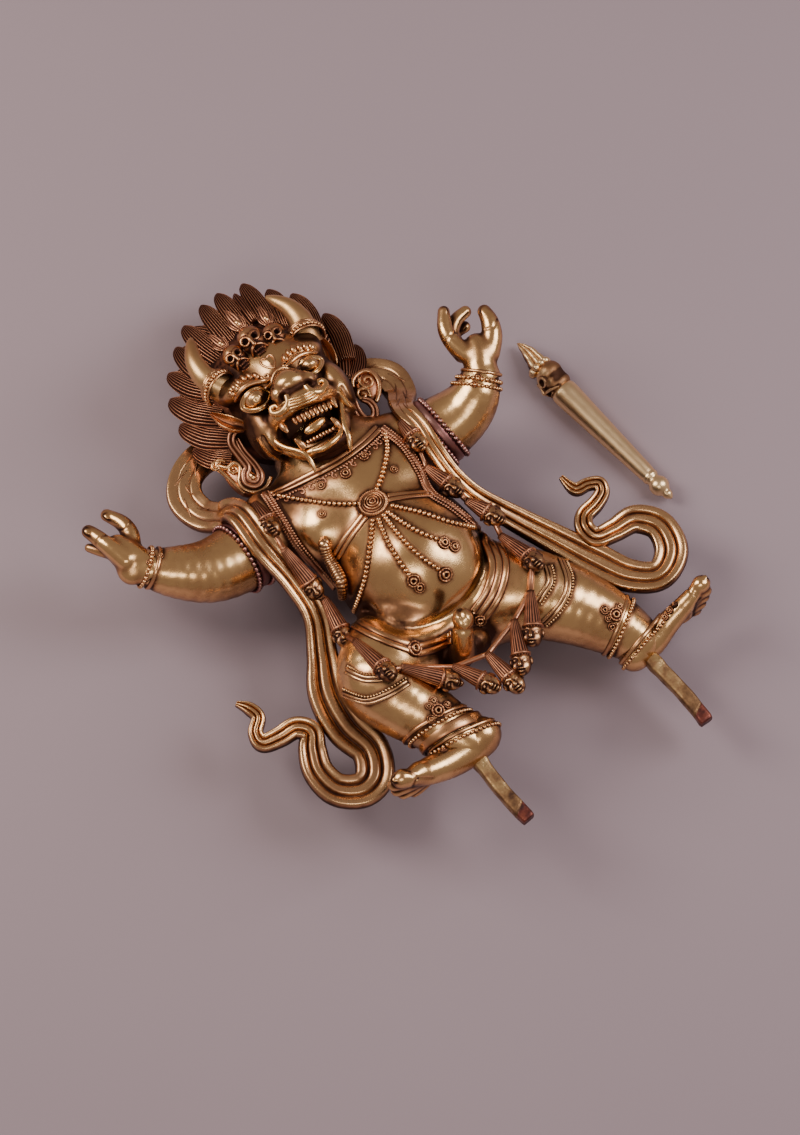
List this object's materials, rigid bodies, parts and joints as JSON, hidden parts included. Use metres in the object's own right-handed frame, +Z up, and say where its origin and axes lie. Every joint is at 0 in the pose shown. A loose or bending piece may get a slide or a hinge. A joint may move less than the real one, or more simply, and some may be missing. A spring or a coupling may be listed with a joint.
{
  "type": "yamantaka statue",
  "caption": "Cast brass figure of a striding, horned, buffalo-faced protector deity with garland, scarf and skull-headed club, lying on its back without a base.",
  "frame": {"origin": "middle of the box that holds the lying figure and its club, at the height of the table", "axes": "+Z up from the table, out of the figure's breast; +Y towards the top of its head; +X towards its left hand"},
  "size_m": [0.3936, 0.5001, 0.1302],
  "materials": {
    "polished_brass": "polished, with dark patina in the hollows",
    "aged_brass": "copper-brown patina, rubbed bright on the ridges"
  },
  "bodies": {
    "root": {"figure": "polished_brass", "skull_crown": "polished_brass", "head_garland": "aged_brass", "scarf_right": "aged_brass", "scarf_left": "aged_brass", "club": "polished_brass"}
  },
  "joints": []
}
